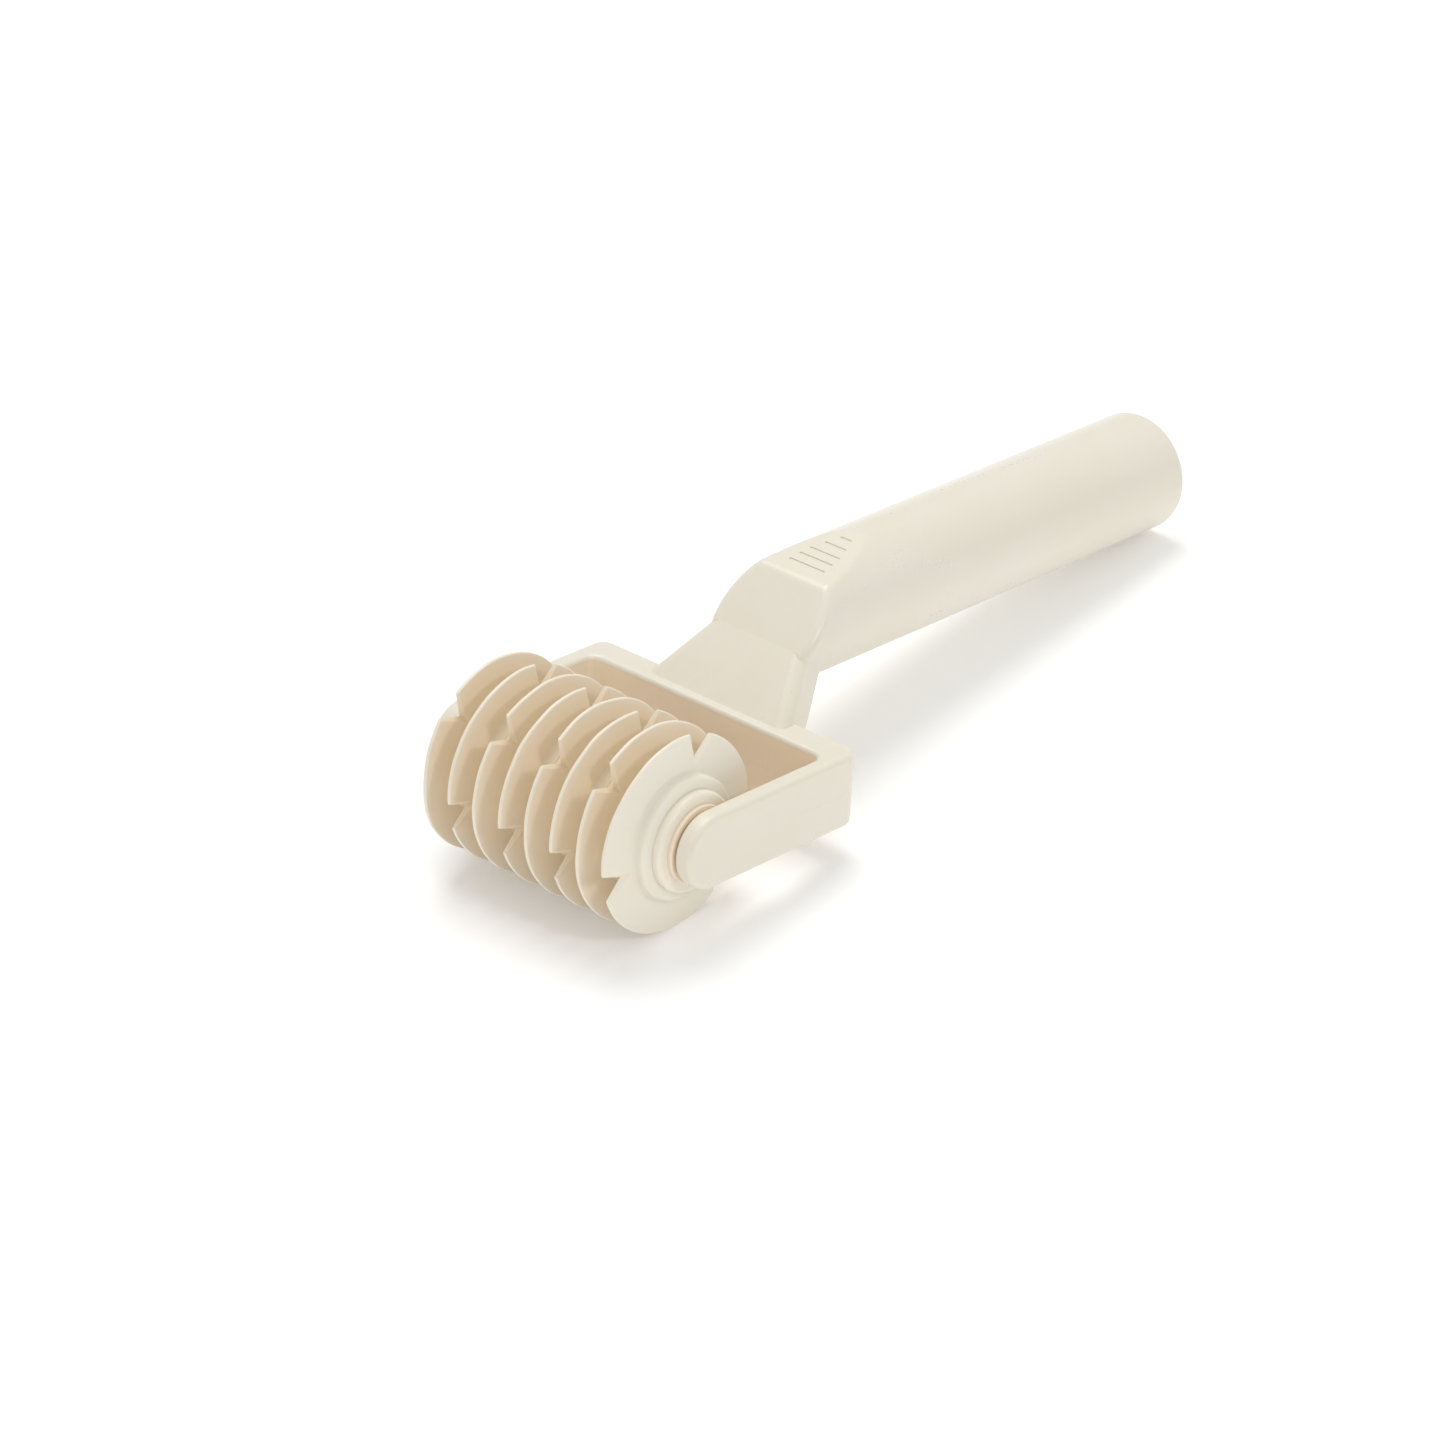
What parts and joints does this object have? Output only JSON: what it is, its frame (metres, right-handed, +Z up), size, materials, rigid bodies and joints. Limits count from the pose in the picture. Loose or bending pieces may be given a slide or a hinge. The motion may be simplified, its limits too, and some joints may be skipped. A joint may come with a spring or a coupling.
{
  "type": "lattice roller cutter",
  "caption": "Hand-held roller cutter for slitting rolled clay or dough into a lattice: notched discs on an axle in a forked yoke, with an offset round grip.",
  "frame": {"origin": "on the table, under the middle of the object's box, as it rests on its blades and the grip's far end", "axes": "+Z up, +Y back along the grip from the roller to the grip's far end, +X along the roller's axis, to the right when looking along +Y"},
  "size_m": [0.0668, 0.1902, 0.04],
  "materials": {
    "frame_plastic": "fine satin moulding, warm ivory",
    "plug_plastic": "fine satin moulding, warm ivory",
    "axle_plastic": "smooth ivory, polished at the journals",
    "wheel_plastic": "satin ivory, slightly translucent at the rim",
    "cap_plastic": "satin ivory",
    "washer_plastic": "smooth ivory"
  },
  "bodies": {
    "handle": {"handle_frame": "frame_plastic", "handle_end_plug": "plug_plastic"},
    "roller": {"axle_rod": "axle_plastic", "cutter_wheel_1": "wheel_plastic", "cutter_wheel_2": "wheel_plastic", "cutter_wheel_3": "wheel_plastic", "cutter_wheel_4": "wheel_plastic", "cutter_wheel_5": "wheel_plastic", "cutter_wheel_6": "wheel_plastic", "cutter_wheel_7": "wheel_plastic", "cutter_wheel_8": "wheel_plastic", "end_cap_left": "cap_plastic", "end_cap_right": "cap_plastic", "thrust_washer_left": "washer_plastic", "thrust_washer_right": "washer_plastic"}
  },
  "joints": [
    {"name": "roller_spin", "type": "hinge", "parent": "handle", "child": "roller", "pos_m": [0, -0.07508, 0.02], "axis": [1, 0, 0], "continuous": true}
  ]
}
